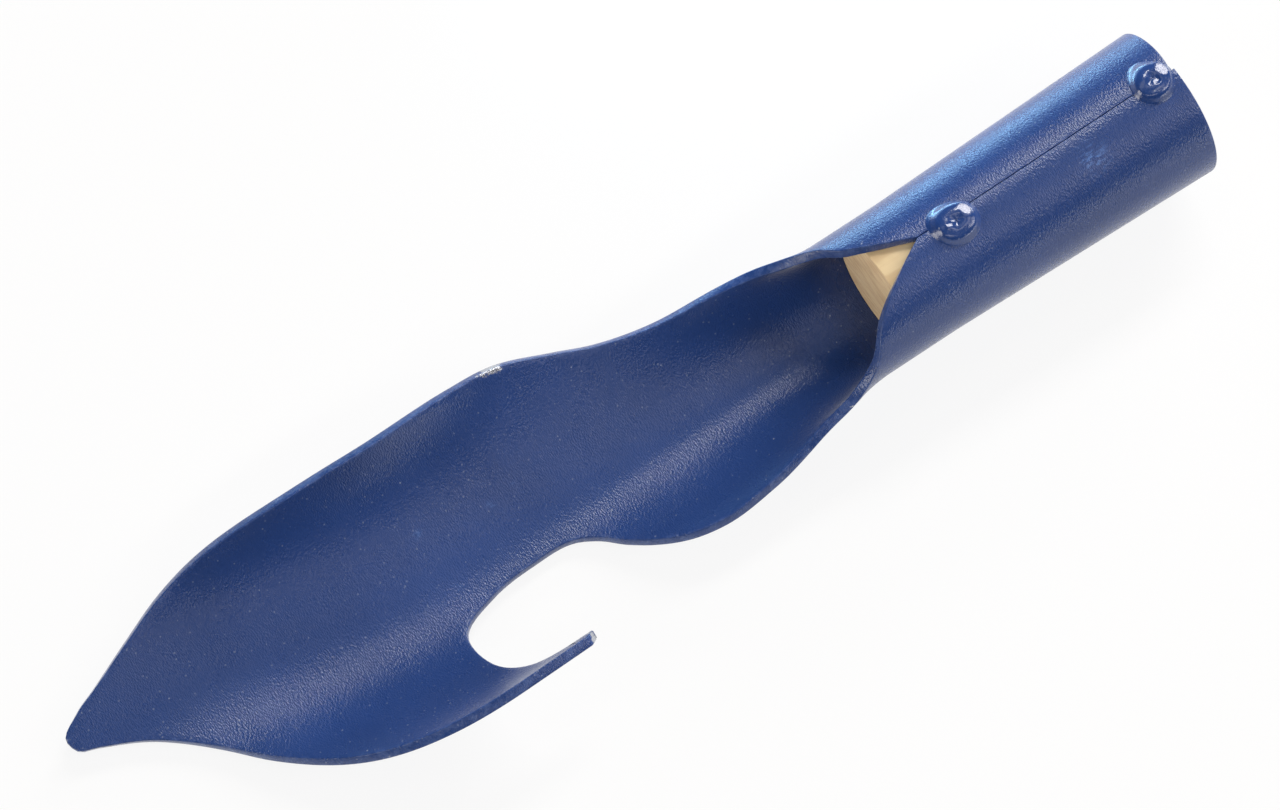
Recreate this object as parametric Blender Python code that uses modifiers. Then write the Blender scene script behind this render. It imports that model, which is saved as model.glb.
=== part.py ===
"""Head of a long-handled weeder: one pressed sheet with a rolled socket, on the end of a wooden handle.

Metres. The origin is the centre of the socket's mouth, +X points out of the mouth along the handle,
+Z points out of the trough (the socket's seam is on top, a little to +Y) and the hook is on the
-Y side.
The sheet is cut out flat, then bent, then given its thickness. A point of the flat blank is (x, w):
w is measured round the sheet from the valley, to the right as one looks from the mouth to the tip.
"""

import math

import bmesh
import bpy
import numpy as np
from mathutils import Vector
from mathutils.geometry import delaunay_2d_cdt

MM = 0.001

SHEET = 2.0 * MM
CLEARANCE = 0.35 * MM
FACET = 2.9 * MM

SOCKET_LENGTH = 61.0 * MM
MOUTH_RADIUS = 15.0 * MM
SOCKET_TAPER = 0.0245
SEAM_GAP = 0.5 * MM
SEAM_ASIDE = 1.3 * MM
CREASE_REACH = 22.0 * MM

WELD_TO_MOUTH = 5.0 * MM
WELD_TO_THROAT = 7.4 * MM
WELD_RADIUS = 4.8 * MM
WELD_HEIGHT = 1.7 * MM
WELD_RIM = 0.5 * MM
WELD_PLUG_RADIUS = 2.1 * MM
WELD_PLAY = 0.5 * MM

HANDLE_REACH = 9.0 * MM
HANDLE_CHAMFER = 0.8 * MM

SCREW_TO_MOUTH = 30.0 * MM
SCREW_RADIUS = 1.6 * MM
SCREW_LENGTH = 17.0 * MM
SCREW_POINT = 4.0 * MM
SCREW_PLAY = 0.7 * MM
THREAD_DEPTH = 0.3 * MM
THREAD_PITCH = 1.4 * MM
HEAD_RADIUS = 3.7 * MM
HEAD_HEIGHT = 2.2 * MM
RECESS_RADIUS = 1.1 * MM
RECESS_DEPTH = 0.7 * MM
PILOT_SPARE = 1.5 * MM

# How the blade is bent, at distances past the throat: left and right radius, how much tighter the
# valley is, how far the valley lies to the left and below the socket's, and the roll in degrees.
# Lengths are in mm. Over ROUND_REACH past the throat it keeps the socket's own radius.
ROUND_REACH = 15.0
BENDS = (
    (24, 15.2, 14.6, 0.0, 0.0, 0.9, 0),
    (34, 21, 20, 0.5, 0.0, 1.3, 0),
    (47, 30, 33, 1.4, 0.0, 1.8, 0),
    (61, 41, 40, 1.5, 0.0, 2.0, 0),
    (74, 42, 37, 1.1, 0.0, 2.2, 0),
    (89, 38, 28, 0.3, 0.0, 2.3, 0),
    (114, 35, 29, 0.0, 0.2, 2.3, 0),
    (129, 35, 31, 0.0, 1.6, 2.3, 0),
    (144, 35, 36, 0.0, 4.5, 2.1, 0.5),
    (156, 38, 39, 0.0, 8.0, 1.7, 2),
    (167, 40, 40, 0.0, 11.5, 1.1, 6),
    (177, 40, 40, 0.0, 14.3, 0.6, 10),
    (189, 40, 40, 0.0, 16.8, 0.1, 12),
)

# The blank's edges, at distances past the throat. All in mm. Each wing's edge falls short of the
# socket's top line by so much. The blade's is so far from the valley: down the left side and round the
# tip to the prong, then from the prong round the notch and up the lobe.
LEFT_WING = ((9, 5.4), (13.5, 8.2), (16.7, 12.8))
RIGHT_WING = ((15.1, 8.6), (5.5, 1.6))
LEFT_AND_TIP = (
    (20.5, -26.8), (28, -24.4), (38, -23.3), (47, -23.2), (60, -25.8), (67, -28.7), (80, -33.6),
    (89, -34.7), (105, -35.4), (121, -34.9), (129, -33.8), (137, -32.1), (144, -29.8),
    (156, -23.0), (167, -14.8), (177, -7.6), (182, -4.4), (186.4, 0.2), (185.6, 2.4), (182, 3.3),
    (172, 5.9), (162, 11.8), (156, 17.0), (144, 25.1), (137, 28.8), (129, 32.4), (121, 35.2),
    (114, 36.4), (105, 36.4), (95.0, 35.4),
)
NOTCH_AND_LOBE = (
    (93.2, 32.6), (99, 32.4), (104, 30.6), (108.3, 26.0), (111.3, 19.4), (111.0, 9.0),
    (102.5, 5.3), (93, 4.4), (83.1, 5.3), (79.3, 7.8), (75.9, 11.6), (63.9, 20.0), (58.5, 21.3),
    (46, 21.4), (37, 21.1), (28, 21.9), (23, 23.4), (20, 25.8),
)


def socket_radius(x):
    """Radius of the middle of the rolled sheet."""
    return MOUTH_RADIUS + SOCKET_TAPER * max(x, -SOCKET_LENGTH)


def smooth(at, values, x):
    """The values at x on a smooth curve through the given rows, level where they turn."""
    rises = np.diff(values, axis=0) / np.diff(at)[:, None]
    slopes = np.vstack([rises[0], (rises[1:] + rises[:-1]) / 2, rises[-1]])
    slopes[1:-1][rises[1:] * rises[:-1] <= 0] = 0.0
    i = int(np.clip(np.searchsorted(at, x) - 1, 0, len(at) - 2))
    step = at[i + 1] - at[i]
    u = (x - at[i]) / step
    ends = values[i] * (1 + 2 * u) * (1 - u) ** 2 + values[i + 1] * u * u * (3 - 2 * u)
    turns = slopes[i] * u * (1 - u) ** 2 - slopes[i + 1] * u * u * (1 - u)
    return ends + step * turns


def bend_rows():
    """Distances past the throat, and the bend at each, in metres and radians."""
    rows = np.array(BENDS) * np.array([MM, MM, MM, 1.0, MM, MM, math.radians(1)])
    throat = socket_radius(-SOCKET_LENGTH)
    as_socket = [[at * MM, throat, throat, 0.0, 0.0, 0.0, 0.0] for at in (0.0, ROUND_REACH)]
    rows = np.vstack([as_socket, rows])
    return rows[:, 0], rows[:, 1:]


BEND_AT, BEND = bend_rows()


def bent(x, w):
    """Where the blank's point (x, w) goes on the middle of the sheet."""
    radius = socket_radius(x)
    if x > -SOCKET_LENGTH:
        return Vector((x, -radius * math.sin(w / radius), -radius * math.cos(w / radius)))
    left, right, crease, aside, drop, roll = smooth(BEND_AT, BEND, -SOCKET_LENGTH - x)
    steps = 40
    along = abs(w) * (np.arange(steps) + 0.5) / steps
    turned = along / (right if w > 0 else left) * (1 + crease) / (1 + crease * along / CREASE_REACH)
    out = math.copysign(np.cos(turned).mean() * w, -w)
    up = np.sin(turned).mean() * abs(w)
    y = aside + out * math.cos(roll) - up * math.sin(roll)
    z = -radius - drop + out * math.sin(roll) + up * math.cos(roll)
    return Vector((x, y, z))


def on_wing(rows, side):
    half_round = math.pi * socket_radius(-SOCKET_LENGTH)
    return [(-SOCKET_LENGTH - at * MM, side * (half_round - short * MM)) for at, short in rows]


def on_blade(rows):
    return [(-SOCKET_LENGTH - at * MM, w * MM) for at, w in rows]


def through(points):
    """Points about FACET apart along a smooth curve through the given ones, without the last."""
    given = np.array(points)
    spans = np.linalg.norm(np.diff(given, axis=0), axis=1)
    at = np.concatenate([[0.0], np.cumsum(spans)])
    slopes = np.gradient(given, at, axis=0)
    found = []
    for i, span in enumerate(spans):
        count = max(1, round(span / FACET))
        for u in np.arange(count) / count:
            ends = given[i] * (1 + 2 * u) * (1 - u) ** 2 + given[i + 1] * u * u * (3 - 2 * u)
            turns = slopes[i] * u * (1 - u) ** 2 - slopes[i + 1] * u * u * (1 - u)
            found.append(tuple(ends + span * turns))
    return found


def seam_edge(side):
    """The socket's seam edge from the mouth to the throat, with a half hole at each weld."""
    hole = WELD_PLUG_RADIUS + WELD_PLAY
    centres = (-WELD_TO_MOUTH, -SOCKET_LENGTH + WELD_TO_THROAT)
    stops = [0.0]
    for centre in centres:
        stops += list(np.arange(stops[-1] - FACET, centre + hole + FACET / 3, -FACET))
        stops += [centre + hole * math.cos(math.radians(a)) for a in range(0, 181, 20)]
    stops += list(np.arange(stops[-1] - FACET, -SOCKET_LENGTH + FACET / 3, -FACET))
    found = []
    for x in stops + [-SOCKET_LENGTH]:
        cut = [hole**2 - (x - centre) ** 2 for centre in centres]
        depth = max(SEAM_GAP / 2, math.sqrt(max(0.0, *cut)))
        found.append((x, side * (math.pi * socket_radius(x) - depth) + SEAM_ASIDE))
    return found


def blank_outline():
    """The flat blank's outline, round from the mouth's left corner."""
    left, right = seam_edge(-1.0), seam_edge(1.0)
    down = [left[-1]] + on_wing(LEFT_WING, -1.0) + on_blade(LEFT_AND_TIP)
    back = on_blade(NOTCH_AND_LOBE) + on_wing(RIGHT_WING, 1.0) + [right[-1]]
    mouth = np.linspace(right[0], left[0], round(2 * math.pi * MOUTH_RADIUS / FACET))
    outline = left[:-1] + through(down) + through([down[-1], back[0]]) + through(back)
    return outline + right[:0:-1] + [tuple(point) for point in mouth[:-1]]


def inside(point, outline):
    """Whether the point is inside the closed outline, by counting crossings."""
    x, w = point
    a = np.array(outline)
    b = np.roll(a, -1, axis=0)
    spans = (a[:, 1] > w) != (b[:, 1] > w)
    a, b = a[spans], b[spans]
    crossing = a[:, 0] + (w - a[:, 1]) / (b[:, 1] - a[:, 1]) * (b[:, 0] - a[:, 0])
    return bool((crossing > x).sum() % 2)


def fill_points(outline, hole):
    """A staggered grid of points inside the outline, kept clear of every edge."""
    edges = np.array(outline + hole)
    low, high = edges.min(0), edges.max(0)
    found = []
    for row, x in enumerate(np.arange(low[0], high[0], FACET)):
        for w in np.arange(low[1] + (row % 2) * FACET / 2, high[1], FACET):
            clear = np.hypot(edges[:, 0] - x, edges[:, 1] - w).min() > FACET * 0.62
            if clear and inside((x, w), outline) and not inside((x, w), hole):
                found.append((float(x), float(w)))
    return found


def screw_hole():
    radius = SCREW_RADIUS + SCREW_PLAY
    turns = [math.radians(a) for a in range(0, 360, 18)]
    return [(-SCREW_TO_MOUTH + radius * math.cos(a), radius * math.sin(a)) for a in turns]


def material(name, colour, roughness, metallic=0.0):
    made = bpy.data.materials.new(name)
    made.use_nodes = True
    shader = made.node_tree.nodes["Principled BSDF"]
    shader.inputs["Base Color"].default_value = (*colour, 1.0)
    shader.inputs["Roughness"].default_value = roughness
    shader.inputs["Metallic"].default_value = metallic
    return made


def place(name, mesh, collection, surface=None, at=(0, 0, 0), turn=(0, 0, 0)):
    made = bpy.data.objects.new(name, mesh)
    made.location = at
    made.rotation_euler = turn
    collection.objects.link(made)
    if surface:
        mesh.materials.append(surface)
    return made


def from_bmesh(name, work):
    bmesh.ops.recalc_face_normals(work, faces=work.faces)
    mesh = bpy.data.meshes.new(name)
    work.to_mesh(mesh)
    work.free()
    mesh.shade_smooth()
    mesh.set_sharp_from_angle(angle=math.radians(35))
    return mesh


def turned(profile, steps):
    """A closed body turned about Z from a profile of (radius, height) that ends on the axis."""
    work = bmesh.new()
    points = [work.verts.new((radius, 0.0, height)) for radius, height in profile]
    edges = [work.edges.new(pair) for pair in zip(points, points[1:])]
    bmesh.ops.spin(
        work, geom=points + edges, axis=(0, 0, 1), cent=(0, 0, 0), angle=2 * math.pi, steps=steps,
        use_merge=True,
    )
    bmesh.ops.remove_doubles(work, verts=work.verts, dist=0.001 * MM)
    return work


def blade_and_socket(collection, surface):
    """The blank is filled flat with triangles, bent, and thickened both ways from its middle."""
    outline, hole = blank_outline(), screw_hole()
    flat = outline + hole + fill_points(outline, hole)
    loops = []
    for first, count in ((0, len(outline)), (len(outline), len(hole))):
        loops += [(first + i, first + (i + 1) % count) for i in range(count)]
    places, _, triangles, *_ = delaunay_2d_cdt([Vector(p) for p in flat], loops, [], 1, 1e-7)
    centres = [sum((places[i] for i in t), Vector((0, 0))) / 3 for t in triangles]
    triangles = [t for t, centre in zip(triangles, centres) if not inside(centre, hole)]
    mesh = bpy.data.meshes.new("blade_and_socket")
    mesh.from_pydata([bent(p.x, p.y) for p in places], [], triangles)
    mesh.shade_smooth()
    made = place("blade_and_socket", mesh, collection, surface)
    thickness = made.modifiers.new("sheet", "SOLIDIFY")
    thickness.thickness = SHEET
    thickness.offset = 0.0
    thickness.use_even_offset = True
    return made


def seam_weld(name, x, collection, surface):
    """A plug in the seam's round hole under a low dome with a ring and a pip, draped on the socket."""
    rise = WELD_HEIGHT - WELD_RIM
    crown = ((0.0, 1.05), (0.16, 0.95), (0.24, 0.74), (0.33, 0.8), (0.42, 1.0), (0.57, 0.95))
    crown += ((0.75, 0.75), (0.9, 0.45), (1.0, 0.0))
    profile = [(WELD_RADIUS * out, WELD_RIM + rise * up) for out, up in crown]
    profile += [(WELD_RADIUS, CLEARANCE), (WELD_PLUG_RADIUS, CLEARANCE)]
    profile += [(WELD_PLUG_RADIUS, -SHEET), (0.0, -SHEET)]
    work = turned(profile, 32)
    outer = socket_radius(x) + SHEET / 2
    for vert in work.verts:
        here = socket_radius(x + vert.co.x) + SHEET / 2
        vert.co.z += math.sqrt(here**2 - vert.co.y**2) - outer
    lean = SEAM_ASIDE / socket_radius(x)
    at, turn = (x, outer * math.sin(lean), outer * math.cos(lean)), (-lean, 0, 0)
    return place(name, from_bmesh(name, work), collection, surface, at, turn)


def handle_end(collection, surface, cutter):
    """The handle's tapered end, driven in to just past the throat and cut off flush with the mouth."""
    length = SOCKET_LENGTH + HANDLE_REACH
    gap = SHEET / 2 + CLEARANCE
    narrow = MOUTH_RADIUS - SOCKET_TAPER * length - gap
    work = bmesh.new()
    bmesh.ops.create_cone(
        work, cap_ends=True, segments=48, radius1=narrow, radius2=MOUTH_RADIUS - gap, depth=length
    )
    foot = [e for e in work.edges if all(v.co.z < 0 for v in e.verts)]
    bmesh.ops.bevel(work, geom=foot, offset=HANDLE_CHAMFER, segments=1, affect="EDGES")
    mesh = from_bmesh("handle_end", work)
    at, turn = (-length / 2, 0, 0), (0, math.radians(90), 0)
    made = place("handle_end", mesh, collection, surface, at, turn)
    pilot = made.modifiers.new("pilot_hole", "BOOLEAN")
    pilot.operation = "DIFFERENCE"
    pilot.solver = "EXACT"
    pilot.object = cutter
    return made


def screw_seat():
    """Height of the socket's back under the screw's head, below the axis."""
    return socket_radius(-SCREW_TO_MOUTH) + SHEET / 2 + CLEARANCE


def pilot_cutter(collection):
    """The hole for the screw, wider than its shank all round."""
    work = bmesh.new()
    radius = SCREW_RADIUS + CLEARANCE
    depth = SCREW_LENGTH + PILOT_SPARE
    bmesh.ops.create_cone(work, cap_ends=True, segments=24, radius1=radius, radius2=radius, depth=depth)
    middle = depth / 2 - screw_seat()
    made = place("pilot_hole_cutter", from_bmesh("pilot_hole_cutter", work), collection)
    made.location = (-SCREW_TO_MOUTH, 0, middle)
    made.hide_render = True
    made.display_type = "WIRE"
    return made


def handle_screw(collection, surface):
    """A pan head on the socket's back and a ridged shank in the wood; its own +Z points out of the head."""
    core = SCREW_RADIUS - THREAD_DEPTH
    profile = [(0.0, HEAD_HEIGHT - RECESS_DEPTH), (RECESS_RADIUS * 0.7, HEAD_HEIGHT - RECESS_DEPTH)]
    profile += [(RECESS_RADIUS, HEAD_HEIGHT), (HEAD_RADIUS * 0.7, HEAD_HEIGHT * 0.85)]
    profile += [(HEAD_RADIUS, HEAD_HEIGHT * 0.45), (HEAD_RADIUS, 0.0), (SCREW_RADIUS, 0.0)]
    below = SHEET + CLEARANCE
    profile.append((SCREW_RADIUS, -below))
    ridges = int((SCREW_LENGTH - SCREW_POINT - below) / THREAD_PITCH)
    for top in (below + THREAD_PITCH * (i + 0.4) for i in range(ridges)):
        profile += [(core, -top), (SCREW_RADIUS, -top - THREAD_PITCH * 0.5)]
    profile += [(core, -SCREW_LENGTH + SCREW_POINT), (0.0, -SCREW_LENGTH)]
    mesh = from_bmesh("handle_screw", turned(profile, 24))
    at, turn = (-SCREW_TO_MOUTH, 0, -screw_seat()), (math.radians(180), 0, 0)
    return place("handle_screw", mesh, collection, surface, at, turn)


def main():
    for old in list(bpy.data.objects):
        bpy.data.objects.remove(old)
    parts = bpy.data.collections.new("long_handled_weeder")
    cutters = bpy.data.collections.new("cutters")
    for collection in (parts, cutters):
        bpy.context.scene.collection.children.link(collection)
    blue = (0.013, 0.045, 0.22)
    pieces = [blade_and_socket(parts, material("blue_coat", blue, 0.45))]
    welds = (("seam_weld_mouth", -WELD_TO_MOUTH), ("seam_weld_throat", -SOCKET_LENGTH + WELD_TO_THROAT))
    for name, x in welds:
        pieces.append(seam_weld(name, x, parts, material("coat_on_" + name, blue, 0.35)))
    wood = material("pale_wood", (0.62, 0.42, 0.2), 0.6)
    pieces.append(handle_end(parts, wood, pilot_cutter(cutters)))
    pieces.append(handle_screw(parts, material("zinc_screw", (0.6, 0.6, 0.58), 0.35, 1.0)))
    head = place("weeder_head", None, parts)
    for piece in pieces:
        piece.parent = head


main()
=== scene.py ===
"""The long-handled weeder's head in its blue coat, on a pale floor, seen from the photograph's angle.

Metres, in the solids' frame: the origin is the centre of the socket's mouth, +X points out of the
mouth along the handle, +Z points out of the trough and the hook is on the -Y side. Left and right
are as one looks from the tip to the mouth, so right is the -Y side. The sheet is cut out flat, then
bent, then given its thickness. A point of the flat blank is (x, w): w is measured round the sheet
from the valley, to the right.
"""

import math

import bmesh
import bpy
import numpy as np
from mathutils import Matrix, Vector
from mathutils.geometry import delaunay_2d_cdt


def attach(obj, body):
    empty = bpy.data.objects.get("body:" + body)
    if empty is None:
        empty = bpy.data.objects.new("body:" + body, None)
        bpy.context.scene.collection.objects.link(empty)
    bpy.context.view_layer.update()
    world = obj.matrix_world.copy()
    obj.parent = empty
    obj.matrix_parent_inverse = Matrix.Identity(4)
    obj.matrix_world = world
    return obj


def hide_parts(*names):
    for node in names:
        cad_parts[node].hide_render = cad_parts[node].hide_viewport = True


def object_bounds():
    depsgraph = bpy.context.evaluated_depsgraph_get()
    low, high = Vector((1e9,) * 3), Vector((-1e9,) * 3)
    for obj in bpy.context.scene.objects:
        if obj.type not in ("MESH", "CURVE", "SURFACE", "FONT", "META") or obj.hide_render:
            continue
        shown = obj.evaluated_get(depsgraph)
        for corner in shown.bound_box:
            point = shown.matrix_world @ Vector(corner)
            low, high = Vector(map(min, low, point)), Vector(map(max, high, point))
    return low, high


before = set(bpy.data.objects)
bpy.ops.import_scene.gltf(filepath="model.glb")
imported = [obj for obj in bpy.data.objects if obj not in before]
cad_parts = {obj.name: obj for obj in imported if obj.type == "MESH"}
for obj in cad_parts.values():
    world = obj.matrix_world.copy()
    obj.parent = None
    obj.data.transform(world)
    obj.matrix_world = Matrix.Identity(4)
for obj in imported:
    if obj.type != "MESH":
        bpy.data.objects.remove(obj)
cad_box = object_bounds()

MM = 0.001

# The sheet, with the solid's sizes but a tighter seam.
SHEET = 2.0 * MM
SOCKET_LENGTH = 61.0 * MM
MOUTH_RADIUS = 15.0 * MM
SOCKET_TAPER = 0.0245
SEAM_GAP = 0.04 * MM
SEAM_ASIDE = 1.3 * MM
CREASE_REACH = 22.0 * MM

# The rounding of the cut edges and of the seam's edges, and the nick in the mouth's rim, left of the
# seam: how deep it is, and how it fades along the handle and round the rim.
EDGE_ROUND = 0.32 * MM
SEAM_ROUND = 0.1 * MM
ROUND_SEGMENTS = 3
NICK_DEPTH = 0.9 * MM
NICK_REACH = 4 * MM
NICK_WIDTH = 3 * MM

# The sheet's mesh: its points are about FACET apart. The distance between their rows, and how far
# they stay from every edge, are shares of it. Points this near the cut edge or the seam are on it.
FACET = 1.25 * MM
ROW_SHARE = 0.87
CLEAR_SHARE = 0.85
ON_EDGE = 0.01 * MM
ON_SEAM = 0.1 * MM

# How the outline is filled: with the triangles inside it, and with points this near taken as one.
FILL_INSIDE = 1
FILL_JOIN = 1e-7

# A bend is added up in so many steps from the valley.
BEND_STEPS = 40

# How the blade is bent, at distances past the throat: left and right radius, how much tighter the
# valley is, how far the valley lies to the left and below the socket's, and the roll in degrees.
# Lengths are in mm. Over ROUND_REACH past the throat it keeps the socket's own radius.
ROUND_REACH = 15.0
BENDS = (
    (24, 15.2, 14.6, 0.0, 0.0, 0.9, 0),
    (34, 21, 20, 0.5, 0.0, 1.3, 0),
    (47, 30, 33, 1.4, 0.0, 1.8, 0),
    (61, 41, 40, 1.5, 0.0, 2.0, 0),
    (74, 42, 37, 1.1, 0.0, 2.2, 0),
    (89, 38, 28, 0.3, 0.0, 2.3, 0),
    (114, 35, 29, 0.0, 0.2, 2.3, 0),
    (129, 35, 31, 0.0, 1.6, 2.3, 0),
    (144, 35, 36, 0.0, 4.5, 2.1, 0.5),
    (156, 38, 39, 0.0, 8.0, 1.7, 2),
    (167, 40, 40, 0.0, 11.5, 1.1, 6),
    (177, 40, 40, 0.0, 14.3, 0.6, 10),
    (189, 40, 40, 0.0, 16.8, 0.1, 12),
)

# The blank's edges, at distances past the throat. All in mm. Each wing's edge falls short of the
# socket's top line by so much. The blade's is so far from the valley: down the left side and round
# the tip to the prong, then from the prong round the notch and up the lobe.
LEFT_WING = ((9, 5.4), (13.5, 8.2), (16.7, 12.8))
RIGHT_WING = ((15.1, 8.6), (5.5, 1.6))
LEFT_AND_TIP = (
    (20.5, -26.8), (28, -24.4), (38, -23.3), (47, -23.2), (60, -25.8), (67, -28.7), (80, -33.6),
    (89, -34.7), (105, -35.4), (121, -34.9), (129, -33.8), (137, -32.1), (144, -29.8),
    (156, -23.0), (167, -14.8), (177, -7.6), (182, -4.4), (186.4, 0.2), (185.6, 2.4), (182, 3.3),
    (172, 5.9), (162, 11.8), (156, 17.0), (144, 25.1), (137, 28.8), (129, 32.4), (121, 35.2),
    (114, 36.4), (105, 36.4), (95.0, 35.4),
)
NOTCH_AND_LOBE = (
    (93.2, 32.6), (99, 32.4), (104, 30.6), (108.3, 26.0), (111.3, 19.4), (111.0, 9.0),
    (102.5, 5.3), (93, 4.4), (83.1, 5.3), (79.3, 7.8), (75.9, 11.6), (63.9, 20.0), (58.5, 21.3),
    (46, 21.4), (37, 21.1), (28, 21.9), (23, 23.4), (20, 25.8),
)

# Each weld: its place along the socket, how far it lies to the left of the socket's top line, its
# length as a share of its width, where the flat place in its dimple is from its middle, which way
# its foot runs out, and how its unevenness is turned. Both angles go from +X towards +Y.
WELDS = {
    "seam_weld_mouth": {
        "x": -5.2 * MM, "aside": 1.4 * MM, "long_by": 1.0, "dimple_flat": (0.2 * MM, -0.7 * MM),
        "foot": math.radians(105), "turn": 0.6,
    },
    "seam_weld_throat": {
        "x": -SOCKET_LENGTH + 7.8 * MM, "aside": -0.4 * MM, "long_by": 1.14,
        "dimple_flat": (-1.8 * MM, -0.2 * MM), "foot": math.radians(134), "turn": 1.7,
    },
}
WELD_RADIUS = 4.5 * MM
WELD_RINGS = 48
WELD_STEPS = 96

# A weld's height above the sheet at shares of its radius: a shallow dimple, a broad ring and the
# run down to the sheet, which it meets in a soft fillet. Heights in mm. Each is then softened with
# its two neighbours.
WELD_SHAPE = (
    (0.0, 1.52), (0.05, 1.54), (0.12, 1.62), (0.2, 1.73), (0.28, 1.84), (0.34, 1.9), (0.4, 1.92),
    (0.47, 1.89), (0.56, 1.81), (0.65, 1.7), (0.72, 1.57), (0.79, 1.32), (0.85, 0.95), (0.9, 0.56),
    (0.95, 0.2), (1.0, -0.06),
)
SOFTENING = (0.25, 0.5, 0.25)

# A weld's unevenness, as shares of its sizes: it is higher on one side, has three swells and is a
# little out of round.
WELD_LEAN = 0.1
WELD_SWELLS = 0.04
OUT_OF_ROUND = (0.04, 0.03)

# From this share of the radius on, the weld's foot runs out on one side, by so much at the rim.
FOOT_START = 0.7
FOOT_REACH = 0.9 * MM

# A weld's two flat places, on its ring and in its dimple: where the ring's is from the weld's middle,
# how far each reaches along and across the socket, and their slope, which faces between the camera
# and the brightest lamp.
RING_FLAT = (2.6 * MM, 0.8 * MM)
RING_FLAT_REACH = (1.1 * MM, 1.9 * MM)
DIMPLE_FLAT_REACH = (0.8 * MM, 0.7 * MM)
FLAT_SLOPE = (0.238, 0.128)

# The handle's end. The chamfer at its inner end has one bend, at these shares of its size in from
# the side and up from the end. Its edge at the mouth is broken a little.
HANDLE_REACH = 9.3 * MM
HANDLE_GAP = 0.12 * MM
HANDLE_CHAMFER = 0.45 * MM
CHAMFER_BEND = (0.35, 0.3)
HANDLE_BREAK = 0.15 * MM
HANDLE_STEPS = 96

# The screw. Its head's crown is a share of the head's height, and a power under 1 makes it fuller.
SCREW_TO_MOUTH = 30.0 * MM
SCREW_RADIUS = 1.6 * MM
SCREW_HOLE_RADIUS = 2.3 * MM
SCREW_LENGTH = 17.0 * MM
SCREW_POINT = 4.0 * MM
SCREW_STEPS = 64
HEAD_RADIUS = 3.7 * MM
HEAD_HEIGHT = 2.2 * MM
HEAD_RIM = 0.1 * MM
HEAD_UNDERCUT = 0.2 * MM
CROWN_SHARE = 0.65
CROWN_POWER = 0.6

# The screw's cross recess: its half length and half width at the bottom and at the top of its
# cutter, how deep it goes, and how far the cutter stands clear of the head.
RECESS_BOTTOM = (1.2 * MM, 0.35 * MM)
RECESS_TOP = (2.1 * MM, 0.55 * MM)
RECESS_DEPTH = 1.3 * MM
RECESS_CLEAR = 1.0 * MM

# How many degrees apart the points of the screw's hole and of its crown are, from how many degrees an
# edge is shaded sharp, and how near points are joined in a turned body and after the recess is cut.
ROUND_DEGREES = 15
SHARP = 35
WELD_SHARP = 60
TURNED_JOIN = 0.001 * MM
RECESS_JOIN = 0.002 * MM

# Camera: its direction from the head, how the handle runs across the picture, and where it looks.
CAMERA_ASIDE = math.radians(10.345)
CAMERA_LOW = math.radians(13.763)
HANDLE_TURN = math.radians(33.07)
CAMERA_DISTANCE = 0.9
CAMERA_TARGET = Vector((-0.125, 0.0, -0.005))
TARGET_RIGHT = -0.795 * MM
TARGET_DOWN = -9.051 * MM
LENS = 131.12
SENSOR_WIDTH = 36.0


def camera_axes():
    """Right, down and towards the camera, in the model's frame."""
    aside, low = CAMERA_ASIDE, CAMERA_LOW
    away = Vector((-math.sin(aside), -math.cos(aside) * math.sin(low), math.cos(aside) * math.cos(low)))
    along = Vector((math.cos(aside), -math.sin(aside) * math.sin(low), math.sin(aside) * math.cos(low)))
    across = (-away).cross(along)
    right = along * math.cos(HANDLE_TURN) + across * math.sin(HANDLE_TURN)
    down = across * math.cos(HANDLE_TURN) - along * math.sin(HANDLE_TURN)
    return right, down, away


def make_camera():
    right, down, away = camera_axes()
    data = bpy.data.cameras.new("camera")
    data.lens = LENS
    data.sensor_width = SENSOR_WIDTH
    camera = bpy.data.objects.new("camera", data)
    target = CAMERA_TARGET + right * TARGET_RIGHT + down * TARGET_DOWN
    turn = Matrix((right, -down, away)).transposed().to_4x4()
    camera.matrix_world = Matrix.Translation(target + away * CAMERA_DISTANCE) @ turn
    bpy.context.scene.collection.objects.link(camera)
    bpy.context.scene.camera = camera


def socket_radius(x):
    """Radius of the middle of the rolled sheet."""
    return MOUTH_RADIUS + SOCKET_TAPER * np.maximum(x, -SOCKET_LENGTH)


def curve(first, last, first_slope, last_slope, step, u):
    """A smooth curve at shares u of a step, from its values and slopes at the step's ends."""
    ends = first * (1 + 2 * u) * (1 - u) ** 2 + last * u * u * (3 - 2 * u)
    turns = first_slope * u * (1 - u) ** 2 - last_slope * u * u * (1 - u)
    return ends + step * turns


def smooth(at, values, x):
    """The values at each x on a smooth curve through the given rows, level where they turn."""
    rises = np.diff(values, axis=0) / np.diff(at)[:, None]
    slopes = np.vstack([rises[0], (rises[1:] + rises[:-1]) / 2, rises[-1]])
    slopes[1:-1][rises[1:] * rises[:-1] <= 0] = 0.0
    i = np.clip(np.searchsorted(at, x) - 1, 0, len(at) - 2)
    step = (at[i + 1] - at[i])[:, None]
    u = (x - at[i])[:, None] / step
    return curve(values[i], values[i + 1], slopes[i], slopes[i + 1], step, u)


def bend_rows():
    """The bends' places and values in metres and radians, from the socket's own radius on."""
    rows = np.array(BENDS) * np.array([MM, MM, MM, 1.0, MM, MM, math.radians(1)])
    throat = socket_radius(-SOCKET_LENGTH)
    as_socket = [[at * MM, throat, throat, 0.0, 0.0, 0.0, 0.0] for at in (0.0, ROUND_REACH)]
    rows = np.vstack([as_socket, rows])
    return rows[:, 0], rows[:, 1:]


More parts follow.
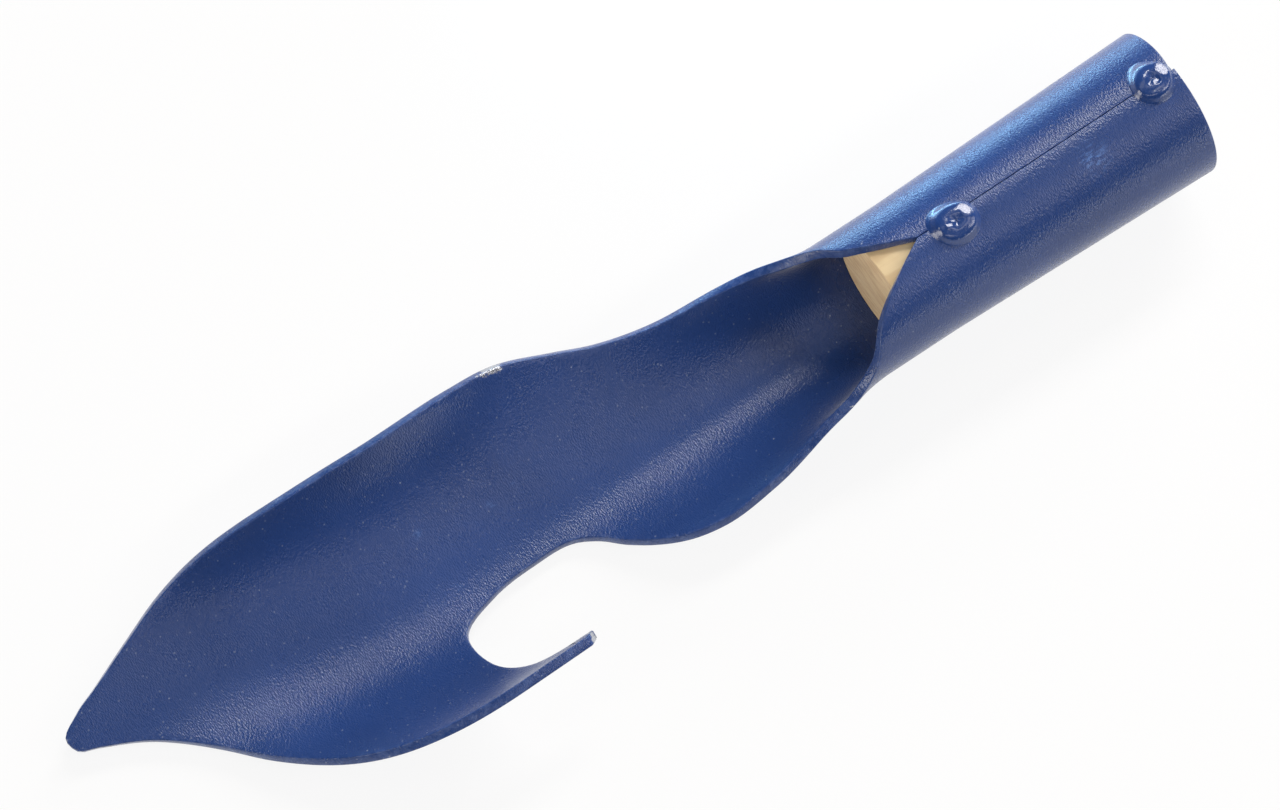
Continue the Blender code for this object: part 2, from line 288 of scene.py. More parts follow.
def bent(x, w):
    """Where the blank's points go on the middle of the sheet, as rows of (x, y, z)."""
    radius = socket_radius(x)
    rolled = np.stack([x, -radius * np.sin(w / radius), -radius * np.cos(w / radius)], axis=1)
    left, right, crease, aside, drop, roll = smooth(*bend_rows(), np.maximum(-SOCKET_LENGTH - x, 0)).T
    along = np.abs(w)[:, None] * (np.arange(BEND_STEPS) + 0.5) / BEND_STEPS
    bend = ((1 + crease) / np.where(w > 0, right, left))[:, None]
    turned_by = along * bend / (1 + crease[:, None] * along / CREASE_REACH)
    out = -np.cos(turned_by).mean(axis=1) * w
    up = np.sin(turned_by).mean(axis=1) * np.abs(w)
    y = aside + out * np.cos(roll) - up * np.sin(roll)
    z = -radius - drop + out * np.sin(roll) + up * np.cos(roll)
    return np.where((x > -SOCKET_LENGTH)[:, None], rolled, np.stack([x, y, z], axis=1))


def on_wing(rows, side):
    half_round = math.pi * socket_radius(-SOCKET_LENGTH)
    return [(-SOCKET_LENGTH - at * MM, side * (half_round - short * MM)) for at, short in rows]


def on_blade(rows):
    return [(-SOCKET_LENGTH - at * MM, w * MM) for at, w in rows]


def through(points):
    """Points about FACET apart along a smooth curve through the given ones, without the last."""
    given = np.array(points)
    spans = np.linalg.norm(np.diff(given, axis=0), axis=1)
    at = np.concatenate([[0.0], np.cumsum(spans)])
    slopes = np.gradient(given, at, axis=0)
    found = []
    for i, span in enumerate(spans):
        count = max(1, round(span / FACET))
        u = (np.arange(count) / count)[:, None]
        found.append(curve(given[i], given[i + 1], slopes[i], slopes[i + 1], span, u))
    return np.vstack(found)


def seam_edge(side):
    """The socket's seam edge from the mouth to the throat."""
    x = np.linspace(0, -SOCKET_LENGTH, round(SOCKET_LENGTH / FACET))
    w = side * (math.pi * socket_radius(x) - SEAM_GAP / 2) + SEAM_ASIDE
    return np.stack([x, w], axis=1)


def blank_outline():
    """The flat blank's outline, round from the mouth's left corner."""
    left, right = seam_edge(-1.0), seam_edge(1.0)
    down = [left[-1]] + on_wing(LEFT_WING, -1.0) + on_blade(LEFT_AND_TIP)
    back = on_blade(NOTCH_AND_LOBE) + on_wing(RIGHT_WING, 1.0) + [right[-1]]
    mouth = np.linspace(right[0], left[0], round(2 * math.pi * MOUTH_RADIUS / FACET))
    prong = through([down[-1], back[0]])
    return np.vstack([left[:-1], through(down), prong, through(back), right[:0:-1], mouth[:-1]])


def inside(points, outline):
    """Which points are inside the closed outline, by counting crossings."""
    found = np.zeros(len(points), bool)
    for a, b in zip(outline, np.roll(outline, -1, axis=0)):
        if a[1] == b[1]:
            continue
        spans = (a[1] > points[:, 1]) != (b[1] > points[:, 1])
        crossing = a[0] + (points[:, 1] - a[1]) / (b[1] - a[1]) * (b[0] - a[0])
        found ^= spans & (crossing > points[:, 0])
    return found


def to_edge(points, outline):
    """Each point's distance to the outline's nearest point."""
    return np.array([np.hypot(*(outline - point).T).min() for point in points])


def fill_points(outline, hole):
    """A staggered grid of points inside the outline, kept clear of every edge."""
    low, high = outline.min(0), outline.max(0)
    rows = []
    for row, x in enumerate(np.arange(low[0], high[0], FACET * ROW_SHARE)):
        w = np.arange(low[1] + (row % 2) * FACET / 2, high[1], FACET)
        rows.append(np.stack([np.full_like(w, x), w], axis=1))
    points = np.vstack(rows)
    points = points[inside(points, outline) & ~inside(points, hole)]
    return points[to_edge(points, np.vstack([outline, hole])) > FACET * CLEAR_SHARE]


def screw_hole():
    turns = np.radians(np.arange(0, 360, ROUND_DEGREES))
    return SCREW_HOLE_RADIUS * np.stack([np.cos(turns), np.sin(turns)], axis=1) - (SCREW_TO_MOUTH, 0)


def filled_blank(outline):
    """The flat blank's points and the triangles between them, with the screw's hole left open."""
    hole = screw_hole()
    flat = np.vstack([outline, hole, fill_points(outline, hole)])
    loops = []
    for first, count in ((0, len(outline)), (len(outline), len(hole))):
        loops += [(first + i, first + (i + 1) % count) for i in range(count)]
    flat = [Vector(point) for point in flat]
    places, _, triangles, *_ = delaunay_2d_cdt(flat, loops, [], FILL_INSIDE, FILL_JOIN)
    points, triangles = np.array(places), np.array(triangles)
    return points, triangles[~inside(points[triangles].mean(axis=1), hole)]


def mark_edges(mesh, x, seam, from_edge):
    """Gives the mesh its points' distance from the cut edge, in mm, and how far its edges are rounded."""
    mesh.attributes.new("edge", "FLOAT", "POINT").data.foreach_set("value", from_edge / MM)
    ends = np.array([edge.vertices[:] for edge in mesh.edges])
    on_cut = (from_edge[ends] < ON_EDGE).all(axis=1)
    on_seam = ((seam < ON_SEAM) & (x > -SOCKET_LENGTH - ON_SEAM))[ends].all(axis=1)
    width = np.where(on_seam, SEAM_ROUND / EDGE_ROUND, 1.0) * on_cut
    mesh.attributes.new("bevel_weight_edge", "FLOAT", "EDGE").data.foreach_set("value", width)


def sheet_mesh():
    """The middle of the bent sheet, with the nick beside the seam."""
    outline = blank_outline()
    points, triangles = filled_blank(outline)
    x, w = points.T
    seam = math.pi * socket_radius(x) - np.abs(w - SEAM_ASIDE)
    nick = np.where(w < 0, NICK_DEPTH, 0.0) * np.exp(x / NICK_REACH) * np.exp(-seam / NICK_WIDTH)
    mesh = bpy.data.meshes.new("blade_sheet")
    mesh.from_pydata(bent(x - nick, w), [], triangles.tolist())
    mesh.shade_smooth()
    mark_edges(mesh, x, seam, to_edge(points, outline))
    return mesh


def node(tree, kind, **values):
    """A shader node with its settings and inputs filled in: a socket is linked and a value is set."""
    made = tree.nodes.new(kind)
    for name, value in values.items():
        if name in made.bl_rna.properties and name not in made.inputs:
            setattr(made, name, value)
            continue
        key = int(name[1:]) if name[0] == "_" else name.replace("_", " ")
        if isinstance(value, bpy.types.NodeSocket):
            tree.links.new(value, made.inputs[key])
        else:
            made.inputs[key].default_value = value
    return made


def new_material(name):
    made = bpy.data.materials.new(name)
    made.use_nodes = True
    tree = made.node_tree
    shader = tree.nodes["Principled BSDF"]
    place = node(tree, "ShaderNodeTexCoord").outputs["Object"]
    return made, tree, shader, place


def math_node(tree, operation, a, b=0.0):
    return node(tree, "ShaderNodeMath", operation=operation, _0=a, _1=b).outputs[0]


def times(tree, a, b):
    return math_node(tree, "MULTIPLY", a, b)


def spread(tree, value, low, high, to_low=0.0, to_high=1.0):
    """The value mapped from low..high, smoothly and without going past the ends."""
    made = node(tree, "ShaderNodeMapRange", interpolation_type="SMOOTHSTEP", _0=value)
    for index, number in enumerate((low, high, to_low, to_high)):
        made.inputs[index + 1].default_value = number
    return made.outputs[0]


def mix(tree, share, first, second):
    """The first colour with a share of the second, each a socket or three numbers."""
    made = node(tree, "ShaderNodeMix", data_type="RGBA")
    for key, value in ((0, share), (6, first), (7, second)):
        if isinstance(value, bpy.types.NodeSocket):
            tree.links.new(value, made.inputs[key])
        else:
            made.inputs[key].default_value = (*value, 1.0) if isinstance(value, tuple) else value
    return made.outputs[2]


def noise(tree, place, scale, detail=2.0, roughness=0.5, stretch=(1, 1, 1)):
    scaled = node(tree, "ShaderNodeMapping", Vector=place, Scale=stretch).outputs[0]
    made = node(
        tree, "ShaderNodeTexNoise", Vector=scaled, Scale=scale, Detail=detail, Roughness=roughness
    )
    return made.outputs[0]


def cells(tree, place, scale):
    """The distance from the middle of the nearest of many random cells."""
    return node(tree, "ShaderNodeTexVoronoi", Vector=place, Scale=scale).outputs["Distance"]


def near(tree, place, marks):
    """The marks' strength at each point, fading out from their middles on the sheet."""
    total = 0.0
    for x, w, reach, strength in marks:
        middle = tuple(float(c) for c in bent(np.array([x]), np.array([w]))[0])
        away = node(tree, "ShaderNodeVectorMath", operation="DISTANCE", _0=place, _1=middle)
        here = spread(tree, away.outputs["Value"], 0.0, reach, strength, 0.0)
        total = math_node(tree, "MAXIMUM", here, total)
    return total


# The coat's colours and how rough and grainy it is, on the sheet and, glossier, on the welds.
COAT = (0.0155, 0.048, 0.188)
PALER_PATCHES = 1.14
THIN_COAT = (0.085, 0.145, 0.36)
RUBBED_COAT = (0.10, 0.22, 0.55)
DUST = (0.42, 0.47, 0.58)
BARE_STEEL = (0.47, 0.49, 0.54)
SHEET_ROUGHNESS = 0.275
SHEET_GRAIN = 0.55
WELD_ROUGHNESS = 0.21
WELD_GRAIN = 0.2

# The grain: its height, and the shares of the fine bumps and of the swell beside its pebbles. From
# BLADE_GRAIN_FROM to the tip it is BLADE_GRAIN of its height on the socket.
GRAIN_HEIGHT = 0.13 * MM
FINE_BUMPS = 0.8
SWELL = 0.4
BLADE_GRAIN = 0.85
BLADE_GRAIN_FROM = -110.0 * MM

# Two sizes of dust: how many cells fit in a metre, how far in its cell a speck is full and where it
# ends, its strength, and the noise that leaves most specks out: its scale, and where it lets none
# and all of them through.
SPECKS = (
    (330.0, 0.04, 0.075, 1.0, 400.0, 0.5, 0.62),
    (700.0, 0.09, 0.17, 0.45, 600.0, 0.42, 0.6),
)
SPECK_COLOUR = 0.55
SPECK_ROUGHNESS = 0.12

# Wear at the cut edges: between which values of the noise the coat thins or the steel is bared, how
# many mm from the edge that fades over, what the edge or a chip adds to the noise, and how far the
# worn place takes its own colour or turns to metal.
THIN_FROM = (0.56, 0.72)
THIN_FADE = (0.1, 1.1)
THIN_AT_EDGE = 0.11
THIN_COLOUR = 0.35
BARE_FROM = (0.7, 0.76)
BARE_FADE = (0.6, 1.5)
BARE_AT_CHIP = 0.34
BARE_METAL = 0.8
RUBBED_COLOUR = 0.8

# Marks on the sheet: where on the flat blank, how far they reach, and how strong they are.
CHIPS = (
    (-141.0 * MM, -34.0 * MM, 5.5 * MM, 1.0),
    (-133.0 * MM, -33.0 * MM, 3.0 * MM, 0.5),
    (-154.2 * MM, 34.2 * MM, 2.8 * MM, 1.6),
    (-106.0 * MM, -24.5 * MM, 4.0 * MM, 0.6),
    (-246.0 * MM, 1.0 * MM, 2.5 * MM, 0.5),
    (-1.0 * MM, 44.0 * MM, 4.0 * MM, 0.6),
)
SCUFFS = (
    (-23.5 * MM, 41.0 * MM, 5.0 * MM, 1.0),
    (-169.5 * MM, -13.5 * MM, 2.0 * MM, 0.8),
    (-154.0 * MM, -10.5 * MM, 2.0 * MM, 0.7),
    (-148.0 * MM, -11.0 * MM, 1.6 * MM, 0.8),
    (-168.5 * MM, -0.5 * MM, 2.0 * MM, 0.6),
)


def add_grain(tree, shader, place, grain):
    """Leathery pebbles, with fine bumps on them and a broad swell under them."""
    across = node(tree, "ShaderNodeMapping", Vector=place, Scale=(2.0, 1.0, 1.0)).outputs[0]
    pebbles = cells(tree, across, 1700.0)
    fine = noise(tree, place, 2600.0, roughness=0.6, stretch=(1.8, 1, 1))
    swell = noise(tree, place, 260.0)
    height = math_node(tree, "ADD", pebbles, times(tree, fine, FINE_BUMPS))
    height = math_node(tree, "ADD", height, times(tree, swell, SWELL))
    along = node(tree, "ShaderNodeSeparateXYZ", Vector=place).outputs[0]
    strength = spread(tree, along, BLADE_GRAIN_FROM, -SOCKET_LENGTH, grain * BLADE_GRAIN, grain)
    bump = node(tree, "ShaderNodeBump", Strength=strength, Distance=GRAIN_HEIGHT, Height=height)
    tree.links.new(bump.outputs[0], shader.inputs["Normal"])


def dust(tree, place):
    """How much dust lies at each point."""
    total = 0.0
    for scale, full, end, strength, sieve, none, every in SPECKS:
        speck = spread(tree, cells(tree, place, scale), full, end, strength, 0.0)
        some = spread(tree, noise(tree, place, sieve, detail=1.0), none, every)
        total = math_node(tree, "MAXIMUM", times(tree, speck, some), total)
    return total


def scuffed(tree, place, colour):
    """The colour with paler streaks at the scuffs."""
    streaks = noise(tree, place, 900.0, detail=3.0, roughness=0.6, stretch=(0.6, 1.6, 1))
    scuffs = times(tree, near(tree, place, SCUFFS), spread(tree, streaks, 0.5, 0.62))
    return mix(tree, times(tree, scuffs, RUBBED_COLOUR), colour, RUBBED_COAT)


def edge_wear(tree, place, colour):
    """The colour with thin places along the cut edges, and how far the steel is bared there."""
    edge = node(tree, "ShaderNodeAttribute", attribute_name="edge").outputs["Fac"]
    rubbed = noise(tree, place, 520.0, detail=4.0, roughness=0.65)
    at_edge = spread(tree, edge, 0.0, 1.0, THIN_AT_EDGE, 0.0)
    thin = spread(tree, math_node(tree, "ADD", rubbed, at_edge), *THIN_FROM)
    thin = times(tree, thin, spread(tree, edge, *THIN_FADE, 1.0, 0.0))
    colour = mix(tree, times(tree, thin, THIN_COLOUR), colour, THIN_COAT)
    chipped = math_node(tree, "ADD", times(tree, near(tree, place, CHIPS), BARE_AT_CHIP), rubbed)
    bare = times(tree, spread(tree, chipped, *BARE_FROM), spread(tree, edge, *BARE_FADE, 1.0, 0.0))
    return colour, bare


def coat(name, roughness, grain, worn):
    """Blue coat with a leathery grain and dust. A worn one is scuffed and chipped, others glossier."""
    made, tree, shader, place = new_material(name)
    add_grain(tree, shader, place, grain)
    broad = noise(tree, place, 45.0, detail=3.0)
    paler = tuple(c * PALER_PATCHES for c in COAT)
    colour = mix(tree, spread(tree, broad, 0.3, 0.72), COAT, paler)
    specks = dust(tree, place)
    if worn:
        colour, bare = edge_wear(tree, place, scuffed(tree, place, colour))
    colour = mix(tree, times(tree, specks, SPECK_COLOUR), colour, DUST)
    if worn:
        colour = mix(tree, bare, colour, BARE_STEEL)
        tree.links.new(times(tree, bare, BARE_METAL), shader.inputs["Metallic"])
    else:
        shader.inputs["Coat Weight"].default_value = 0.4
        shader.inputs["Coat Roughness"].default_value = 0.15
    tree.links.new(colour, shader.inputs["Base Color"])

    patches = noise(tree, place, 130.0, detail=3.0)
    patches = spread(tree, patches, 0.3, 0.7, roughness * 0.95, roughness * 1.06)
    rough = math_node(tree, "ADD", patches, times(tree, specks, SPECK_ROUGHNESS))
    tree.links.new(rough, shader.inputs["Roughness"])
    shader.inputs["IOR"].default_value = 1.5
    shader.inputs["Sheen Weight"].default_value = 0.3
    shader.inputs["Sheen Roughness"].default_value = 0.35
    return made


def add_piece(name, mesh, material, slot, *nodes):
    """An object on the model's body that takes the place of the nodes."""
    piece = bpy.data.objects.new(name, mesh)
    bpy.context.scene.collection.objects.link(piece)
    mesh.materials.append(material)
    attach(piece, "root")
    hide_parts(*nodes)
    return piece


def blade_sheet():
    material = coat("coat", SHEET_ROUGHNESS, SHEET_GRAIN, True)
    piece = add_piece("blade_sheet", sheet_mesh(), material, "blue_coat", "blade_and_socket")
    thickness = piece.modifiers.new("thickness", "SOLIDIFY")
    thickness.thickness = SHEET
    thickness.offset = 0.0
    rounded = piece.modifiers.new("rounded_edges", "BEVEL")
    rounded.width = EDGE_ROUND
    rounded.segments = ROUND_SEGMENTS
    rounded.limit_method = "WEIGHT"


def add_mesh(name, work, sharp=SHARP):
    bmesh.ops.recalc_face_normals(work, faces=work.faces)
    mesh = bpy.data.meshes.new(name)
    work.to_mesh(mesh)
    work.free()
    mesh.shade_smooth()
    mesh.set_sharp_from_angle(angle=math.radians(sharp))
    return mesh


def turned(profile, steps):
    """A closed body turned about Z from a profile of (radius, height) that ends on the axis."""
    work = bmesh.new()
    points = [work.verts.new((radius, 0.0, height)) for radius, height in profile]
    edges = [work.edges.new(pair) for pair in zip(points, points[1:])]
    bmesh.ops.spin(
        work, geom=points + edges, axis=(0, 0, 1), cent=(0, 0, 0), angle=2 * math.pi, steps=steps,
        use_merge=True,
    )
    bmesh.ops.remove_doubles(work, verts=work.verts, dist=TURNED_JOIN)
    return work


def weld_profile(shares, heights):
    """A weld's profile, from the middle of its flat underside to the middle of its top."""
    out = np.linspace(1, 0, WELD_RINGS)
    up = np.interp(out, shares, heights)
    up = np.convolve(np.pad(up, 1, mode="edge"), SOFTENING, mode="valid") * MM
    return [(0.0, -SHEET / 2), (WELD_RADIUS, -SHEET / 2)] + list(zip(out * WELD_RADIUS, up))


def make_uneven(point, top, long_by, foot, turn):
    """Moves a point of a round weld to where it is on an uneven one with its foot run out."""
    share = math.hypot(point.x, point.y) / WELD_RADIUS
    angle = math.atan2(point.y, point.x) - turn
    if top:
        lean = WELD_LEAN * math.cos(angle) * share
        point.z *= 1 + lean + WELD_SWELLS * math.cos(3 * angle + turn)
    point.x *= long_by * (1 + OUT_OF_ROUND[0] * math.cos(2 * angle))
    point.y *= 1 - OUT_OF_ROUND[1] * math.cos(2 * angle + turn)
    push = max(0.0, math.cos(angle + turn - foot)) ** 2
    push *= FOOT_REACH * (max(0.0, share - FOOT_START) / (1 - FOOT_START)) ** 2
    point.x += push * math.cos(foot)
    point.y += push * math.sin(foot)


def pressed(height, place, middle, reach, level, slope):
    """The height blended into a flat sloping place with soft edges."""
    along, across = place[0] - middle[0], place[1] - middle[1]
    share = math.exp(-(((along / reach[0]) ** 2 + (across / reach[1]) ** 2) ** 2))
    flat = level - slope[0] * along - slope[1] * across
    return height + (flat - height) * share


def seam_weld(name, material, x, aside, long_by, dimple_flat, foot, turn):
    """A weld's mound: a broad ring round a dimple, uneven as a weld is, draped on the socket."""
    shares, heights = np.array(WELD_SHAPE).T
    outer = socket_radius(x) + SHEET / 2
    slope = (FLAT_SLOPE[0], FLAT_SLOPE[1] - aside / outer)
    work = turned(weld_profile(shares, heights), WELD_STEPS)
    for vert in work.verts:
        top = vert.co.z > 0
        make_uneven(vert.co, top, long_by, foot, turn)
        place = (vert.co.x, vert.co.y)
        here = socket_radius(x + vert.co.x) + SHEET / 2
        vert.co.z += math.sqrt(here**2 - vert.co.y**2)
        for middle, reach in ((RING_FLAT, RING_FLAT_REACH), (dimple_flat, DIMPLE_FLAT_REACH)):
            level = np.interp(math.hypot(*middle) / WELD_RADIUS, shares, heights) * MM
            if top:
                vert.co.z = pressed(vert.co.z, place, middle, reach, outer + level, slope)
        vert.co.x += x
    lean = Matrix.Rotation(-aside / outer, 3, "X")
    bmesh.ops.rotate(work, verts=work.verts, matrix=lean)
    add_piece(name + "_mound", add_mesh(name, work, WELD_SHARP), material, "blue_coat", name)


def handle_stub(material):
    """The handle's end: a hand-cut tapered dowel with a rasped chamfer, flush with the mouth."""
    length = SOCKET_LENGTH + HANDLE_REACH
    gap = SHEET / 2 + HANDLE_GAP
    narrow = float(socket_radius(-SOCKET_LENGTH)) - gap
    wide = MOUTH_RADIUS - gap
    inward, up = CHAMFER_BEND
    profile = [
        (0.0, 0.0),
        (narrow - HANDLE_CHAMFER, 0.0),
        (narrow - HANDLE_CHAMFER * inward, HANDLE_CHAMFER * up),
        (narrow, HANDLE_CHAMFER),
        (narrow, HANDLE_REACH),
        (wide - HANDLE_BREAK, length - HANDLE_BREAK),
        (wide - 2 * HANDLE_BREAK, length),
        (0.0, length),
    ]
    work = turned(profile, HANDLE_STEPS)
    for vert in work.verts:
        vert.co = Vector((vert.co.z - length, vert.co.x, vert.co.y))
    add_piece("handle_stub", add_mesh("handle_stub", work), material, "pale_wood", "handle_end")


def cross_cutter():
    """Two tapered blades that cut the screw's cross recess."""
    work = bmesh.new()
    for turn in (0, 90):
        made = bmesh.ops.create_cube(work, size=1.0)["verts"]
        for vert in made:
            low = vert.co.z < 0
            length, width = RECESS_BOTTOM if low else RECESS_TOP
            vert.co.x *= 2 * length
            vert.co.y *= 2 * width
            vert.co.z = HEAD_HEIGHT + (-RECESS_DEPTH if low else RECESS_CLEAR)
        bmesh.ops.rotate(work, verts=made, matrix=Matrix.Rotation(math.radians(turn), 3, "Z"))
    cutter = bpy.data.objects.new("cutter", add_mesh("cutter", work))
    bpy.context.scene.collection.objects.link(cutter)
    return cutter


def screw_profile():
    """The screw's profile from the top of its crown to its point."""
    crown = np.radians(np.arange(90, -1, -ROUND_DEGREES))
    out = np.maximum(HEAD_RADIUS * np.cos(crown) ** CROWN_POWER, 0)
    up = HEAD_HEIGHT * (1 - CROWN_SHARE + CROWN_SHARE * np.sin(crown))
    out[0] = 0.0
    head = [(float(radius), float(height)) for radius, height in zip(out, up)]
    head += [(HEAD_RADIUS, HEAD_RIM), (HEAD_RADIUS - HEAD_UNDERCUT, 0.0)]
    shank = [(SCREW_RADIUS, 0.0), (SCREW_RADIUS, -SCREW_LENGTH + SCREW_POINT), (0.0, -SCREW_LENGTH)]
    return head + shank


def with_recess(piece):
    """A copy of the piece's mesh with the cross recess cut in, cleared of stray bits of face."""
    cutter = cross_cutter()
    cut = piece.modifiers.new("recess", "BOOLEAN")
    cut.object = cutter
    cut.use_self = True
    graph = bpy.context.evaluated_depsgraph_get()
    mesh = bpy.data.meshes.new_from_object(piece.evaluated_get(graph))
    piece.modifiers.clear()
    bpy.data.objects.remove(cutter)
    work = bmesh.new()
    work.from_mesh(mesh)
    bmesh.ops.remove_doubles(work, verts=work.verts, dist=RECESS_JOIN)
    bmesh.ops.dissolve_degenerate(work, dist=RECESS_JOIN, edges=work.edges)
    work.to_mesh(mesh)
    work.free()
    return mesh


def screw(material):
    """A pan-head screw with a cross recess in the socket's back, its shank up in the wood."""
    mesh = add_mesh("cross_screw", turned(screw_profile(), SCREW_STEPS))
    piece = add_piece("cross_screw", mesh, material, "zinc_screw", "handle_screw")
    mesh = with_recess(piece)
    seat = float(socket_radius(-SCREW_TO_MOUTH)) + SHEET / 2
    mesh.transform(Matrix.Translation((-SCREW_TO_MOUTH, 0, -seat)) @ Matrix.Rotation(math.pi, 4, "X"))
    mesh.shade_smooth()
    mesh.set_sharp_from_angle(angle=math.radians(SHARP))
    piece.data = mesh


# The wood's colours: along its side, on its rasped inner end and, from SAWN_FROM on, on its sawn
# face at the mouth. The rasped end's colours are lighter than the side's, as painted light on the
# end face. The middle of its rings is outside the handle.
PALE_WOOD = (0.84, 0.66, 0.39)
LATE_WOOD = (0.70, 0.50, 0.27)
STAIN = (0.45, 0.30, 0.16)
END_WOOD_PAINTED_LIGHTER = (0.96, 0.74, 0.46)
END_GRAIN_PAINTED_LIGHTER = (0.74, 0.50, 0.28)
SAWN_WOOD = (0.60, 0.43, 0.25)
SAWN_RINGS = (0.42, 0.28, 0.15)
SAWN_FROM = (-2 * MM, -1 * MM)
PITH = (0.0, 11.0 * MM, 17.0 * MM)


def wood():
    """Pale planed wood: rings round a pith outside the dowel, long fibres, and a rasped end painted
    lighter, as painted light.
    """
    made, tree, shader, place = new_material("wood")
    moved = node(tree, "ShaderNodeVectorMath", operation="ADD", _0=place, _1=PITH).outputs[0]
    long_rings = node(tree, "ShaderNodeMapping", Vector=moved, Scale=(0.12, 1, 1)).outputs[0]
    rings = node(
        tree, "ShaderNodeTexWave", wave_type="RINGS", rings_direction="X", Vector=long_rings,
        Scale=140.0, Distortion=2.2, Detail=3.0, Detail_Scale=2.0, Detail_Roughness=0.6,
    ).outputs["Fac"]
    fibres = noise(tree, place, 1500.0, detail=3.0, roughness=0.6, stretch=(0.05, 1, 1))
    stains = noise(tree, place, 160.0)
    pores = noise(tree, place, 3200.0, roughness=0.6)
    rasp = noise(tree, place, 900.0, stretch=(1, 0.22, 1.3))

    normal = node(tree, "ShaderNodeNewGeometry").outputs["True Normal"]
    facing = node(tree, "ShaderNodeSeparateXYZ", Vector=normal).outputs[0]
    end = spread(tree, math_node(tree, "ABSOLUTE", facing), 0.5, 0.75)
    along = node(tree, "ShaderNodeSeparateXYZ", Vector=place).outputs[0]
    mouth = times(tree, end, spread(tree, along, *SAWN_FROM))

    late = times(tree, spread(tree, rings, 0.35, 0.95), 0.7)
    side = mix(tree, late, PALE_WOOD, LATE_WOOD)
    side = mix(tree, spread(tree, fibres, 0.45, 0.75, 0.0, 0.45), side, LATE_WOOD)
    marks = spread(tree, rasp, 0.4, 0.65, 0.0, 0.75)
    marks = math_node(tree, "ADD", marks, spread(tree, pores, 0.5, 0.8, 0.0, 0.4))
    # Painted light: the end faces take lighter colours than the side, standing in for light on the rasped
    # end; its rasp marks are real.
    rasped = mix(tree, marks, END_WOOD_PAINTED_LIGHTER, END_GRAIN_PAINTED_LIGHTER)
    sawn = mix(tree, times(tree, marks, 0.3), SAWN_WOOD, SAWN_RINGS)
    sawn = mix(tree, spread(tree, rings, 0.3, 0.9, 0.0, 0.8), sawn, SAWN_RINGS)
    colour = mix(tree, times(tree, end, 0.8), side, rasped)
    colour = mix(tree, mouth, colour, sawn)
    colour = mix(tree, spread(tree, stains, 0.5, 0.8, 0.0, 0.3), colour, STAIN)
    tree.links.new(colour, shader.inputs["Base Color"])

    height = math_node(tree, "ADD", times(tree, fibres, 0.6), times(tree, rasp, end))
    bump = node(tree, "ShaderNodeBump", Strength=0.6, Distance=0.15 * MM, Height=height)
    tree.links.new(bump.outputs[0], shader.inputs["Normal"])
    tree.links.new(spread(tree, fibres, 0.3, 0.7, 0.5, 0.7), shader.inputs["Roughness"])
    return made


ZINC_DARK = (0.42, 0.42, 0.40)
ZINC_BRIGHT = (0.62, 0.62, 0.60)
ZINC_SPOTS = (0.30, 0.29, 0.27)


def steel():
    """Zinc plate with a mottle, rougher where it is darker, and fine dark spots."""
    made, tree, shader, place = new_material("steel")
    mottle = noise(tree, place, 700.0, detail=3.0, roughness=0.6)
    fine = noise(tree, place, 4000.0)
    colour = mix(tree, spread(tree, mottle, 0.35, 0.7), ZINC_DARK, ZINC_BRIGHT)
    colour = mix(tree, spread(tree, fine, 0.55, 0.8, 0.0, 0.4), colour, ZINC_SPOTS)
    tree.links.new(colour, shader.inputs["Base Color"])
    shader.inputs["Metallic"].default_value = 1.0
    tree.links.new(spread(tree, mottle, 0.3, 0.7, 0.42, 0.28), shader.inputs["Roughness"])
    bump = node(tree, "ShaderNodeBump", Strength=0.3, Distance=0.05 * MM, Height=fine)
    tree.links.new(bump.outputs[0], shader.inputs["Normal"])
    return made


# The floor. The camera and reflections see this share of it as plain white, and light and shadow on
# the rest.
FLOOR_SIZE = 3.0
FLOOR_MIDDLE = -0.12
FLOOR_COLOUR = (0.86, 0.86, 0.86, 1)
FLOOR_WHITE = 0.88


def pale_floor():
    bpy.ops.mesh.primitive_plane_add(size=FLOOR_SIZE, location=(FLOOR_MIDDLE, 0, cad_box[0][2]))
    floor = bpy.context.object
    floor.name = "floor"
    made = bpy.data.materials.new("floor")
    made.use_nodes = True
    tree = made.node_tree
    tree.nodes.remove(tree.nodes["Principled BSDF"])
    ray = node(tree, "ShaderNodeLightPath").outputs
    seen = math_node(tree, "MAXIMUM", ray["Is Camera Ray"], ray["Is Glossy Ray"])
    seen = math_node(tree, "MAXIMUM", seen, ray["Is Transmission Ray"])
    share = times(tree, seen, FLOOR_WHITE)
    pale = node(tree, "ShaderNodeBsdfDiffuse", Color=FLOOR_COLOUR)
    white = node(tree, "ShaderNodeEmission", Strength=1.0)
    both = node(tree, "ShaderNodeMixShader", _0=share, _1=pale.outputs[0], _2=white.outputs[0])
    tree.links.new(both.outputs[0], tree.nodes["Material Output"].inputs["Surface"])
    floor.data.materials.append(made)


# Soft strip lamps that run along the handle: how many degrees round from the +Y side of the floor
# over the top to the -Y side, how many they lean to the handle's end, their width, power and colour.
LAMPS = {
    "key": (57, 35, 0.26, 13.8, (1.0, 0.97, 0.94)),
    "handle_end": (32, 60, 0.2, 8.0, (1.0, 1.0, 1.0)),
    "left_window": (4, 5, 0.2, 3.0, (0.37, 0.66, 1.0)),
    "right_top": (127, 40, 0.16, 4.5, (1.0, 0.95, 0.94)),
    "right_far": (132, -20, 0.2, 2.2, (1.0, 0.95, 0.94)),
    "top": (76, -6, 0.3, 1.3, (1.0, 1.0, 1.0)),
    "over_valley": (105, 14, 0.3, 2.5, (1.0, 0.96, 0.94)),
    "right_low": (177, 25, 0.12, 2.6, (1.0, 1.0, 1.0)),
    "tip_end": (85, -78, 0.6, 11.0, (1.0, 0.95, 0.88)),
}
LAMP_DISTANCE = 1.4
LAMP_LENGTH = 1.0
WORLD_LIGHT = 0.03

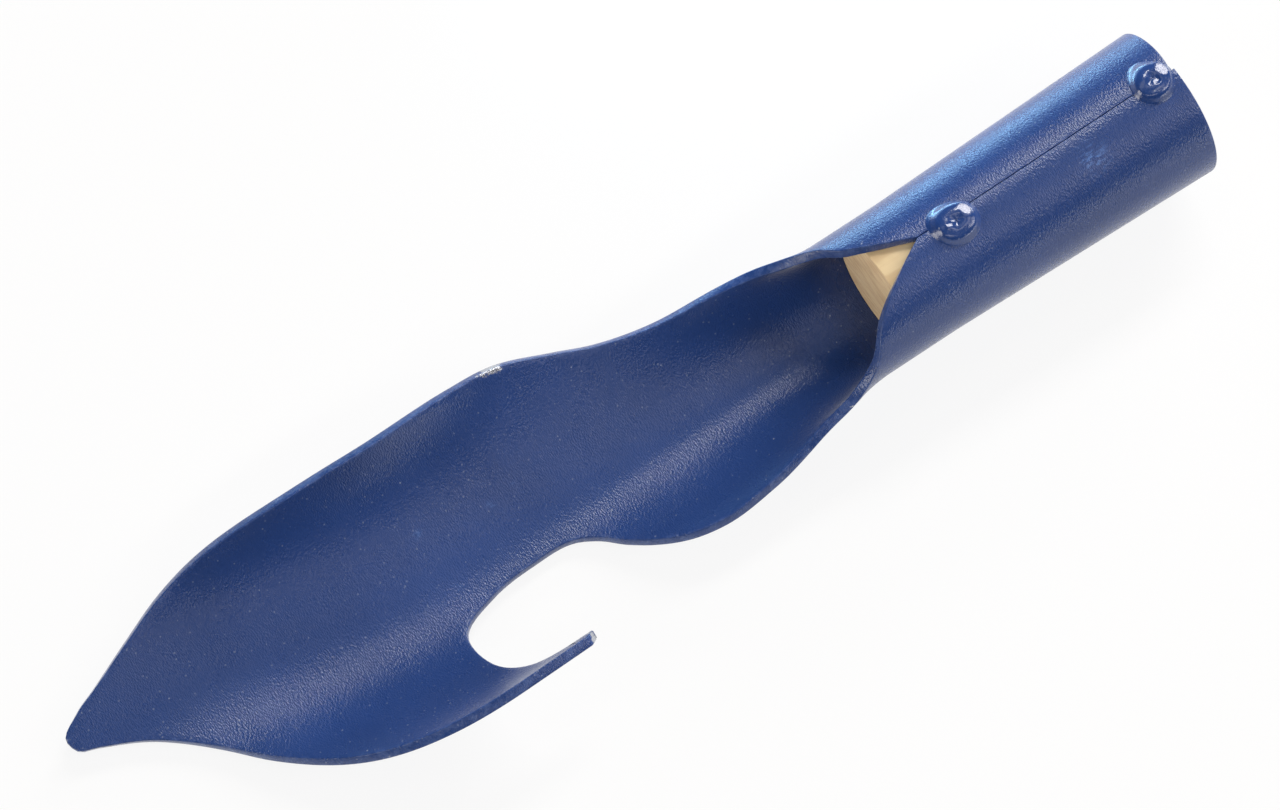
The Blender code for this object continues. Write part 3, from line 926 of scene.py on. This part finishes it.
# A small blue lamp just above the floor to the socket's left, out of the picture. The last number of
# its place is its height above the floor.
LOW_LAMP_PLACE = (-0.02, 0.11, 0.008)
LOW_LAMP_SIZE = (0.12, 0.012)
LOW_LAMP_POWER = 0.08
LOW_LAMP_COLOUR = (0.3, 0.66, 1.0)


def world_light(strength):
    world = bpy.data.worlds.new("world")
    bpy.context.scene.world = world
    world.use_nodes = True
    world.node_tree.nodes["Background"].inputs["Color"].default_value = (1, 1, 1, 1)
    world.node_tree.nodes["Background"].inputs["Strength"].default_value = strength


def area_lamp(name, length, width, power, colour):
    data = bpy.data.lights.new(name, "AREA")
    data.shape = "RECTANGLE"
    data.size = length
    data.size_y = width
    data.energy = power
    data.color = colour
    lamp = bpy.data.objects.new(name, data)
    bpy.context.scene.collection.objects.link(lamp)
    return lamp


def strip_lamp(name, round_by, lean, width, power, colour):
    lamp = area_lamp(name, LAMP_LENGTH, width, power, colour)
    a, t = math.radians(round_by), math.radians(lean)
    away = Vector((math.sin(t), math.cos(t) * math.cos(a), math.cos(t) * math.sin(a)))
    along = Vector((math.cos(t), -math.sin(t) * math.cos(a), -math.sin(t) * math.sin(a)))
    turn = Matrix((along, away.cross(along), away)).transposed().to_4x4()
    lamp.matrix_world = Matrix.Translation(CAMERA_TARGET + away * LAMP_DISTANCE) @ turn


def low_lamp():
    lamp = area_lamp("socket_side", *LOW_LAMP_SIZE, LOW_LAMP_POWER, LOW_LAMP_COLOUR)
    x, y, above_floor = LOW_LAMP_PLACE
    lamp.location = (x, y, cad_box[0][2] + above_floor)
    lamp.rotation_euler = Vector((0, 1, 0)).to_track_quat("Z", "Y").to_euler()


make_camera()
blade_sheet()
weld_coat = coat("coat_on_welds", WELD_ROUGHNESS, WELD_GRAIN, False)
for name, weld in WELDS.items():
    seam_weld(name, weld_coat, **weld)
handle_stub(wood())
screw(steel())
pale_floor()
world_light(WORLD_LIGHT)
for name, settings in LAMPS.items():
    strip_lamp(name, *settings)
low_lamp()
bpy.context.scene.view_settings.view_transform = "Standard"
